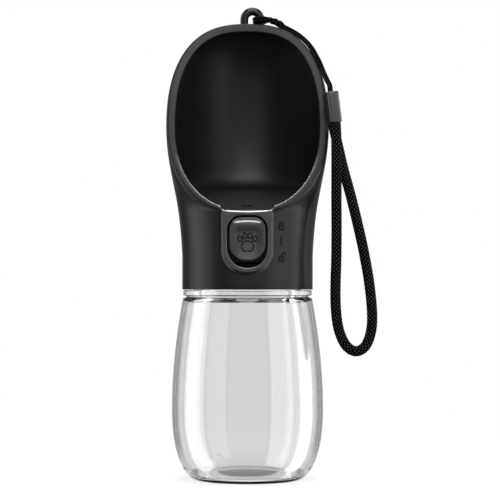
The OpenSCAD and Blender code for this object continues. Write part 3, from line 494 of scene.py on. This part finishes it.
hole = outline(20.9, 104.4, 131.2, 9.5, 5.5)
shell.data = cut_mesh(shell, "DIFFERENCE", "slot", [standing(hole, -26.0), standing(hole, -37.0)])
outlet_half, outlet_deep, outlet_y = 2.7, 2.5, -24
u = np.linspace(-1, 1, 17)
bow = np.stack([outlet_half * u, outlet_deep * (1 - u * u), 0 * u], 1)
lens = np.concatenate([bow[:0:-1], (bow * [1, -1, 1])[:-1]]) + [0, outlet_y, 0]
shell.data = cut_mesh(shell, "DIFFERENCE", "outlet", [lens + [0, 0, 130], lens + [0, 0, 139]])

spots = np.zeros(3 * len(shell.data.vertices), np.float32)
shell.data.vertices.foreach_get("co", spots)
spots = 1000 * spots.reshape(-1, 3)
away = np.sqrt(sum((spots[:, k, None] - rim_in[None, :, k].astype(np.float32)) ** 2 for k in range(3)).min(1))
worn_lip = np.clip((0.8 - away) / 0.3, 0, 1) * np.clip((162 - spots[:, 2]) / 8, 0, 1)  # where muzzles rub it
shell.data.attributes.new("worn", "FLOAT", "POINT").data.foreach_set("value", worn_lip.astype(np.float32))


# ---- Lock signs ----
# A closed padlock, a line and an open padlock beside the slot, near-black lines laid
# in the skirt as painted shade for engraved lines: up is locked, down is open.
sign_x, closed_z, line_z, open_z, line_r, sunk = 16.3, 124.65, 118.35, 109.5, 0.36, 0.15


def tube(line, radius, sides, up, aside=0.0, over=0.0, ring=False):
    """A tube round a line: line + R (u cos b + v sin b), with u = run x up and v = run x u. The line is first
    moved by aside along u and by over along v."""
    run = np.roll(line, -1, 0) - np.roll(line, 1, 0) if ring else np.gradient(line, axis=0)
    run = run / np.linalg.norm(run, axis=1, keepdims=True)
    u = np.cross(run, up)
    u = u / np.linalg.norm(u, axis=1, keepdims=True)
    v = np.cross(run, u)
    one = np.ones(len(line))
    line = line + (aside * one)[:, None] * u + (over * one)[:, None] * v
    b = np.linspace(0, 2 * math.pi, sides, endpoint=False)[None, :, None]
    radius = radius * np.ones((len(line), sides))
    return line[:, None] + radius[..., None] * (u[:, None] * np.cos(b) + v[:, None] * np.sin(b))


def on_skirt(line, sink=0.0):
    """[x, z] points laid on the skirt, sunk by so much."""
    return standing(line, -np.sqrt((skirt_r(line[:, 1]) - sink) ** 2 - line[:, 0] ** 2))


def hook(x, z, half_w, left_leg, right_leg):
    """A shackle: a half circle over x and z with two straight legs of these lengths."""
    turn = np.linspace(0, math.pi, 17)
    arc = np.stack([x + half_w * np.cos(turn), z + half_w * np.sin(turn)], 1)
    return np.vstack([[[x + half_w, z - right_leg]], arc, [[x - half_w, z - left_leg]]])


def upright(z, half):
    """A straight line up the skirt, with its middle at z."""
    share = np.linspace(-1, 1, 7)
    return np.stack([sign_x + 0 * share, z + half * share], 1)


lock_body = outline(2.3, -1.05, 1.05, 0.4, 0.4, 5, 3)
bodies = [lock_body + [sign_x, z] for z in (closed_z, open_z)]
strokes = [upright(line_z, 2.5), upright(closed_z, 0.25), upright(open_z, 0.25),
           hook(sign_x, closed_z + 1.55, 0.85, 0.75, 0.75), hook(sign_x + 1.35, open_z + 2.1, 0.85, 1.2, 0.2)]
sets = [closed_grid(tube(on_skirt(line, sunk), line_r, 12, (0, 1, 0), ring=True), wrap_rows=True)
        for line in bodies]
sets += [closed_grid(tube(on_skirt(line, sunk), line_r, 12, (0, 1, 0))) for line in strokes]
# painted shade: near-black, matte lines where the engraving's shade would be
sign_painted_shade, shader, place = finish("sign_painted_shade", (0.0015, 0.0015, 0.0015), 0.8, Specular_IOR_Level=0.1)
grain = place.noise(3000.0, 2.0)
feed(shader, Base_Color=grain.mix((0.001, 0.001, 0.001, 1), (0.003, 0.003, 0.003, 1)),
     Roughness=0.7 + 0.2 * grain)
piece("lock_signs", *together(sets), sign_painted_shade, "head", "shell_black", [], 60)


# ---- Button surround ----
# The raised frame round the slot, moulded with the head: flat face, soft outer
# edge, a hollow fillet at its foot, and a slot whose top and bottom are round.
face_y, foot_w, face_w, face_low, face_top, face_r = -35.0, 1.9, 23.1, 102.8, 132.5, 10.7
outer, inner = outline(face_w, face_low, face_top, face_r, 0.5), outline(19.7, 105.0, 130.4, 9.7, 6.8)
flare = outline(face_w + 2 * foot_w, face_low - foot_w, face_top, face_r + foot_w, 0.5)
for line in (outer, flare):  # the top edge sags in the middle, as the rim does
    at_top = np.clip((line[:, 1] - 131.5) / 0.9, 0, 1)
    line[:, 1] -= sag * at_top * (1 - np.minimum(1, (line[:, 0] / sag_half) ** 2))
face_out, face_in = standing(outer, face_y), standing(inner, face_y)
foot_line, flare_line = on_skirt(outer), on_skirt(flare, 0.03)
reach = np.minimum(np.linalg.norm(flare_line - foot_line, axis=1), foot_line[:, 1] - face_y - 0.65)
reach = np.clip(reach, 0.02, 0.95 * foot_w)
deep_in = standing(inner, -np.sqrt((works_r + 0.05) ** 2 - inner[:, 0] ** 2))
rows = np.concatenate([
    [on_skirt(flare, 0.8)], soft_corner(flare_line, foot_line, face_out, reach, 8),
    soft_corner(foot_line, face_out, face_in, np.full(len(outer), 0.6)),
    soft_corner(face_out, face_in, deep_in, np.full(len(inner), 0.5)), [deep_in]])

# a value a row: 10 rows of foot, 6 of outer edge, 6 of inner edge and the one behind
# painted shade: the foot mark darkens the fillet rows at the frame's foot to nearly black
foot = np.repeat(np.concatenate([[1], np.linspace(1, 0, 9) ** 0.7, np.zeros(13)]), len(outer))
worn = np.concatenate([np.zeros(10), [1, 1, 1, 0.6, 0, 0], [0, 0.4, 1, 1, 1, 1], [0]])
worn = worn[:, None] + 0 * outer[:, 0]
worn[10:16] *= outer[:, 1] > 131
frame_grey, shader, place = finish("satin_grey_frame", (0.035, 0.035, 0.036), 0.36, Specular_IOR_Level=0.45,
                                   Coat_Roughness=0.14, Coat_IOR=2.4)
grain, cloud, low = place.noise(2600.0, 2.0), place.noise(40.0, 3.0), place.mark("foot")
plain = cloud.mix((0.031, 0.031, 0.0315, 1), (0.04, 0.04, 0.0405, 1))
# painted shade: the frame's colour goes nearly black towards its foot
feed(shader, Base_Color=low.mix(plain, (0.005, 0.005, 0.005, 1)), Roughness=0.32 + 0.1 * grain + 0.1 * low,
     Coat_Weight=0.8 * place.mark("worn"), height=(grain, 0.000012))
points, faces = closed_grid(rows, wrap_rows=True)
piece("button_surround", points, faces, frame_grey, "head", "shell_black", [], 50,
      {"foot": foot, "worn": worn.ravel()})


# ---- Hanging eye ----
# An arch moulded on the top of the head, right of the middle, that the thin
# cord is hitched to.
eye_at, eye_r, eye_bar, leg_low, leg_top = np.array([2.5, 17.2, 232.0]), 4.15, 2.03, 5.4, 0.3
turn = np.linspace(0, math.pi, 65)[:, None]
arch = eye_at + eye_r * (np.cos(turn) * [1, 0, 0] + np.sin(turn) * [0, 0, 1])
leg = np.array([0, 0, -1]) * np.linspace(leg_low, leg_top, 8)[:, None]
bar = np.vstack([arch[0] + leg, arch, arch[-1] + leg[::-1]])
points, faces = closed_grid(tube(bar, eye_bar, 32, (0, 1, 0)))
eye_black, shader, place = finish("polished_black_eye", (0.004, 0.004, 0.0042), 0.2, Specular_IOR_Level=0.35)
cloud = place.noise(60.0, 3.0)
feed(shader, Base_Color=cloud.mix((0.003, 0.003, 0.0031, 1), (0.005, 0.005, 0.0052, 1)),
     Roughness=0.16 + 0.08 * cloud)
piece("hanging_eye", points, faces, eye_black, "head", "shell_black", [], 60)


# ---- Push button ----
# A separate satin cap on the lock slider, with the boss, wings and wedge behind
# it: a ridge across its top, a hollow for the thumb and a plain paw print whose grooves are painted shade.
button_y, cap_back, middle_z, pad_z, ridge_z, ridge_sag = -34.4, -30.4, 118.2, 115.3, 127.0, 0.014
toes = ((-3.6, 118.95, 1.0, 1.2, 0.35), (-1.2, 120.35, 0.95, 1.25, 0.12),
        (1.2, 120.35, 0.95, 1.25, -0.12), (3.6, 118.95, 1.0, 1.2, -0.35))  # x, z, half width and height, lean


def paw_line(x, z):
    """How far each point is from the nearest line of the paw: four oval toes and a pad notched from below."""
    away = np.full(x.shape, 9.0)
    for toe_x, toe_z, wide, high, lean in toes:
        p = (x - toe_x) * math.cos(lean) + (z - toe_z) * math.sin(lean)
        q = (z - toe_z) * math.cos(lean) - (x - toe_x) * math.sin(lean)
        away = np.minimum(away, abs(np.sqrt((p / wide) ** 2 + (q / high) ** 2) - 1) * wide)
    angle = np.arctan2(z - pad_z, x)
    pad = 2.8 * (1 + 0.05 * np.cos(2 * angle)) - 0.6 * np.exp(-((angle + math.pi / 2) / 0.26) ** 2)
    return np.minimum(away, abs(np.hypot(x, z - pad_z) - pad))


def face_depth(x, z):
    """How far the face lies behind its front: a step of 0.35 over the ridge, a hollow of 1.25 that starts
    steeply under it and runs out towards the bottom and the sides, and the paw's grooves of 0.5."""
    crest = ridge_z - ridge_sag * x * x
    hollow = 1.25 * eased((crest - 0.6 - z) / 5.0) * (1 - (1 - np.clip((z - 108.9) / 13.5, 0, 1)) ** 2)
    step = 0.35 * eased((z - crest - 0.1) / 1.0) * eased((7.6 - abs(x)) / 2.5)
    return hollow * eased((8.8 - abs(x)) / 5.5) + step + 0.5 * np.exp(-(paw_line(x, z) / 0.3) ** 4)


edge_line = outline(17.7, 108.4, 129.7, 8.3, 6.2, 31, 31)
centre, edge_reach = np.array([0, middle_z]), 0.9
shares = np.linspace(0, 1, 125)[1:, None, None]
spokes = edge_line - centre
line = centre + shares * spokes * (1 - edge_reach / np.linalg.norm(spokes, axis=1)[:, None])
front = np.stack([line[..., 0], button_y + face_depth(line[..., 0], line[..., 1]), line[..., 1]], -1)
edge_face = face_depth(edge_line[:, 0], edge_line[:, 1])
rim_line, side_line = standing(edge_line, button_y + edge_face), standing(edge_line, cap_back)
back_middle = np.array([0, cap_back, 118.6])
rows = np.concatenate([
    front, soft_corner(front[-1], rim_line, side_line, np.full(len(edge_line), 0.85), 7)[1:], [side_line],
    steps_between(side_line, back_middle + 0 * side_line, (0.5, 0.97))])
button_grey, shader, place = finish("satin_grey_button", (0.03, 0.03, 0.031), 0.32, Specular_IOR_Level=0.5,
                                    Coat_Roughness=0.2, Coat_IOR=2.2)
grain, cloud, cut = place.noise(2600.0, 2.0), place.noise(60.0, 3.0), place.mark("cut")
plain = cloud.mix((0.026, 0.026, 0.0265, 1), (0.034, 0.034, 0.0345, 1))
# painted shade: the cut mark colours the paw's grooves nearly black
feed(shader, Base_Color=cut.mix(plain, (0.001, 0.001, 0.001, 1)), Roughness=0.22 + 0.08 * grain + 0.4 * cut,
     Coat_Weight=place.mark("worn"), height=(grain, 0.000012))
points, faces = closed_grid(rows[::-1])
x, y, z = points.T
painted_groove_shade = np.exp(-(paw_line(x, z) / 0.34) ** 4) * (y < -32)
rubbed = np.exp(-((z - ridge_z - 0.4 + ridge_sag * x * x) / 0.9) ** 2) * eased((7.4 - abs(x)) / 3) * (y < -32)
piece("thumb_button", points, faces, button_grey, "button", "button_black", ["push_button"], 40,
      {"cut": painted_groove_shade, "worn": rubbed})

# what stands behind the cap is kept from the solid
loose = bmesh.new()
loose.from_mesh(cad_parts["push_button"].data)
bmesh.ops.remove_doubles(loose, verts=loose.verts, dist=1e-6)
works_mesh = bpy.data.meshes.new("button_works")
loose.to_mesh(works_mesh)
loose.free()
works = bpy.data.objects.new("button_works", works_mesh)
scene.collection.objects.link(works)
box = outline(19.0, 106, 132, 0.5, 0.5, 3, 1)
works.data = cut_mesh(works, "INTERSECT", "behind", [standing(box, 5.0), standing(box, cap_back - 0.3)])
works.data.materials.clear()
works.data.materials.append(button_grey)
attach(works, "button")
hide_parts("push_button")


# ---- Works ----
# The threaded cap screwed into the skirt, the silicone ring on the bottle's lip,
# and the moulded valve and slider with their rubber seals, steel springs and
# screws. They keep the solids' own shapes.
def dress(material, *nodes):
    """Gives frame nodes that keep their own shape a finish."""
    for name in nodes:
        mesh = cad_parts[name].data
        mesh.materials.clear()
        mesh.materials.append(material)


cap_black, shader, place = finish("moulded_black_cap", (0.012, 0.012, 0.0125), 0.55, Specular_IOR_Level=0.3)
grain = place.noise(1800.0, 3.0)
feed(shader, Base_Color=grain.mix((0.01, 0.01, 0.0103, 1), (0.015, 0.015, 0.0155, 1)),
     Roughness=0.5 + 0.12 * grain, height=(grain, 0.00002))
dress(cap_black, "inner_cap", "lock_slider", "button_guide", "valve_housing", "outlet_duct")

silicone, shader, place = finish("milky_silicone", (0.72, 0.72, 0.7), 0.45, Subsurface_Weight=0.3)
cloud = place.noise(300.0, 2.0)
feed(shader, Base_Color=cloud.mix((0.7, 0.7, 0.68, 1), (0.78, 0.78, 0.76, 1)), height=(cloud, 0.00001))
dress(silicone, "cap_gasket", "valve_seat", "valve_plug", "water_tube")

inner_white, shader, place = finish("natural_white_plastic", (0.78, 0.78, 0.76), 0.4)
cloud = place.noise(500.0, 2.0)
feed(shader, Base_Color=cloud.mix((0.76, 0.76, 0.74, 1), (0.81, 0.81, 0.79, 1)), height=(cloud, 0.00001))
dress(inner_white, "valve_stem")

dark_rubber, shader, place = finish("dark_rubber", (0.04, 0.04, 0.04), 0.7)
grain = place.noise(1500.0, 3.0)
feed(shader, Roughness=0.6 + 0.15 * grain, height=(grain, 0.00002))
dress(dark_rubber, "stem_o_ring", "housing_gasket", "outlet_seal", "air_valve")

steel, shader, place = finish("bright_steel", (0.66, 0.67, 0.69), 0.25, Metallic=1.0)
scratch = place.noise(2200.0, 4.0)
feed(shader, Roughness=0.2 + 0.15 * scratch, height=(scratch, 0.000008))
dress(steel, "stem_collar", "valve_spring", "button_spring", "cap_screws", "guide_screws", "housing_screws")

blued, shader, place = finish("blued_spring_steel", (0.03, 0.031, 0.035), 0.4, Metallic=1.0)
scratch = place.noise(2200.0, 4.0)
feed(shader, Roughness=0.35 + 0.15 * scratch, height=(scratch, 0.000008))
dress(blued, "detent_spring")


# ---- Lanyard ----
# A thin doubled cord hitched to the eye, a crimp sleeve, and a long loop of
# round braided polyester cord for the wrist.
def smooth_route(points, steps=12):
    """A Catmull-Rom curve: b + s/2 ((c - a) + s ((2a - 5b + 4c - d) + s (3(b - c) + d - a))) on each span."""
    p = np.asarray(points, float)
    p = np.vstack([p[:1], p, p[-1:]])
    a, b, c, d = (p[k:len(p) - 3 + k, None] for k in range(4))
    s = np.linspace(0, 1, steps, endpoint=False)[None, :, None]
    line = b + 0.5 * s * ((c - a) + s * ((2 * a - 5 * b + 4 * c - d) + s * (3 * (b - c) + d - a)))
    return np.vstack([line.reshape(-1, 3), p[-1:]])


def evenly(line, gap):
    """The line with points a gap apart, and how far along it each lies."""
    far = np.concatenate([[0], np.cumsum(np.linalg.norm(np.diff(line, axis=0), axis=1))])
    at = np.linspace(0, far[-1], int(far[-1] / gap) + 1)
    return np.stack([np.interp(at, far, line[:, k]) for k in range(3)], 1), at


def plait(at, sides, count, per_mm):
    """Mounds of crossing yarns on a tube's grid: |sin(pi p) sin(pi q)|^0.6, with p and q = count u +- per_mm
    v, u the share of the way round and v the distance along."""
    u, v = np.arange(sides)[None, :] / sides, at[:, None]
    return abs(np.sin(math.pi * (count * u + per_mm * v)) * np.sin(math.pi * (count * u - per_mm * v))) ** 0.6


def with_ends(mounds):
    """The mounds of a tube's grid, with a middling height for the points that close its two ends."""
    return np.append(mounds.ravel(), [0.5, 0.5])


def yarn(name, dark, light, depth):
    """A finish of plaited yarn: dark between the mounds and lighter on them, with fine fibres; that is
    painted shade between the mounds and painted highlights on them.
    """
    material, shader, place = finish(name, (dark, dark, dark), 0.9, Specular_IOR_Level=0.03)
    fibre = place.noise(3500.0, 3.0)
    # painted highlight on the mound crests and painted shade between them
    painted_mound_light = place.mark("mound") ** 10.0 * (0.4 + 1.2 * fibre)
    feed(shader, Base_Color=painted_mound_light.mix((dark, dark, dark, 1), (light, light, light, 1)), height=(fibre, depth))
    return material


sleeve_at, sleeve_half, tilt, yaw = np.array([41.8, -13, 184.2]), 7.75, math.radians(7), math.radians(12)
sleeve_axis = np.array([-math.sin(tilt), 0, math.cos(tilt)])
THREAD_ROUTE = [[3.2, 21, 231.6], [3.2, 17, 231.6], [4, 13.8, 231.7], [7, 13, 231.9], [11, 13.8, 231.4],
                [15, 14.8, 230.2], [21.6, 15, 227.2], [26.8, 14.5, 224], [31.8, 12.5, 218.9],
                [35.4, 9.5, 212.4], [37.6, 6, 205.4], [39.4, 1, 200.2], [40.3, -6, 197.2],
                [40.7, -11.5, 194.9], (sleeve_at + sleeve_half * sleeve_axis).tolist()]
WRIST_ROUTE = [[43.322, -15.739, 176.579], [43.7, -15.6, 168], [43.8, -14.8, 155], [43.8, -14, 140],
               [43.9, -13.5, 125], [43.8, -13, 110], [43.4, -13, 96], [43.6, -13, 85], [45, -13, 75],
               [48.5, -13, 67.2], [53.5, -13, 64.2], [58.3, -13, 67], [61, -13, 74.5], [61.4, -13, 84],
               [60, -13, 98], [57.6, -13, 112], [54.8, -12.8, 125], [51.2, -12, 140], [47.2, -11, 155],
               [44.2, -10.4, 168], [42.167, -10.261, 176.437]]

# two strands side by side: what parts them is the run turned by a right angle in X and Z, or Z inside the eye
strand_r, part, yarn_high, gap = 0.66, 0.66, 0.07, 0.3
line, at = evenly(smooth_route(THREAD_ROUTE), gap)
run = np.gradient(line, axis=0)
across = np.stack([-run[:, 2], 0 * at, run[:, 0]], 1)
on_rim = eased((at - 15) / 8) * eased((56 - at) / 10)
line -= (0.75 / gap * on_rim)[:, None] * across  # there it lies 0.75 mm nearer the rim than the solid
in_eye = (1 - eased(at / 9))[:, None]
up = np.cross(across + 0.3 * in_eye * [0, 0, 1], run)
mounds = plait(at, 24, 4, 0.75)
thread_black = yarn("thin_cord_black", 0.001, 0.14, 0.00006)
sway, radius = 0.3 * np.sin(at / 7), strand_r - 0.16 * in_eye + yarn_high * mounds
sets = [closed_grid(tube(line, radius, 24, up, sign * part * np.cos(sway), sign * part * np.sin(sway)))
        for sign in (1, -1)]
thread = piece("thin_cord", *together(sets), thread_black, "head", "cord_black", ["lanyard_thread"], 60,
               {"mound": np.tile(with_ends(mounds), 2)})

# the hitch: two turns round the eye's right bar and three strands wound over the cord
bar_x, loop_r, wind_r, wind_mm = 6.65, 2.7, 1.05, 8.5
turn = np.linspace(0, 2 * math.pi, 72, endpoint=False)
sets, marks = [], []
mound = plait(turn * loop_r, 16, 4, 0.75)
for low in (230.5, 231.75):
    loop = np.stack([bar_x + (loop_r + 0.02) * np.cos(turn), eye_at[1] + loop_r * np.sin(turn),
                     low + 0.25 * np.cos(turn)], 1)
    sets.append(closed_grid(tube(loop, 0.6 + yarn_high * mound, 16, (0, 0, 1), ring=True), wrap_rows=True))
    marks.append(mound.ravel())
knot_route = [[8.4, 13.9, 231.3], [11, 13.9, 231.3], [15, 14.7, 230.3], [18.5, 15, 228.8]]
knot, far = evenly(smooth_route(knot_route), 0.2)
swell = wind_r * np.sin(math.pi * np.clip(far / far[-1], 0.04, 0.97)) ** 0.5
mound = plait(far, 16, 4, 0.75)
for start in (0.0, 2.1, 4.2):
    spin = start + 2 * math.pi * far / wind_mm
    grid = tube(knot, 0.68 + yarn_high * mound, 16, (0, 1, 0), swell * np.cos(spin), swell * np.sin(spin))
    sets.append(closed_grid(grid))
    marks.append(with_ends(mound))
hitch = piece("eye_hitch", *together(sets), thread_black, "head", "cord_black", [], 60,
              {"mound": np.concatenate(marks)})

line_w, at_w = evenly(smooth_route(WRIST_ROUTE), 0.28)
mounds = plait(at_w, 60, 8, 0.48)
cord_black = yarn("wrist_cord_black", 0.0005, 0.15, 0.0001)
points, faces = closed_grid(tube(line_w, 2.48 + 0.14 * mounds, 60, (0, 1, 0)))
wrist = piece("wrist_loop", points, faces, cord_black, "head", "cord_black", ["wrist_cord"], 60,
              {"mound": with_ends(mounds)})

# the sleeve is a flat tube with round edges, built upright, then turned about Z and leant to the left
sleeve_w, half_deep, corner_r, end_r = 6.0, 5.5, 1.5, 0.8
turn = np.linspace(0, math.pi / 2, 8)
inset, end = end_r * (1 - np.sin(turn)), sleeve_half - end_r * (1 - np.cos(turn))
rows = []
for d, h in [*zip(inset, -end), *zip(inset[::-1], end[::-1])]:
    around = outline(sleeve_w - 2 * d, d - half_deep, half_deep - d, corner_r - d, corner_r - d, 8, 4)
    rows.append(np.stack([around[:, 0], around[:, 1], h + 0 * around[:, 0]], 1))
turn_z = np.array([[math.cos(yaw), -math.sin(yaw), 0], [math.sin(yaw), math.cos(yaw), 0], [0, 0, 1]])
lean = np.array([[math.cos(tilt), 0, -math.sin(tilt)], [0, 1, 0], [math.sin(tilt), 0, math.cos(tilt)]])
points, faces = closed_grid(np.stack(rows) @ (lean @ turn_z).T + sleeve_at)
sleeve_black, shader, place = finish("satin_black_sleeve", (0.02, 0.02, 0.021), 0.35, Specular_IOR_Level=0.9)
grain, cloud = place.noise(2400.0, 2.0), place.noise(80.0, 3.0)
feed(shader, Base_Color=cloud.mix((0.011, 0.011, 0.0113, 1), (0.017, 0.017, 0.0174, 1)),
     Roughness=0.3 + 0.1 * grain, height=(grain, 0.00001))
sleeve = piece("crimp_sleeve", points, faces, sleeve_black, "head", "sleeve_black", ["cord_sleeve"], 35)

(line / 1000).tolist()
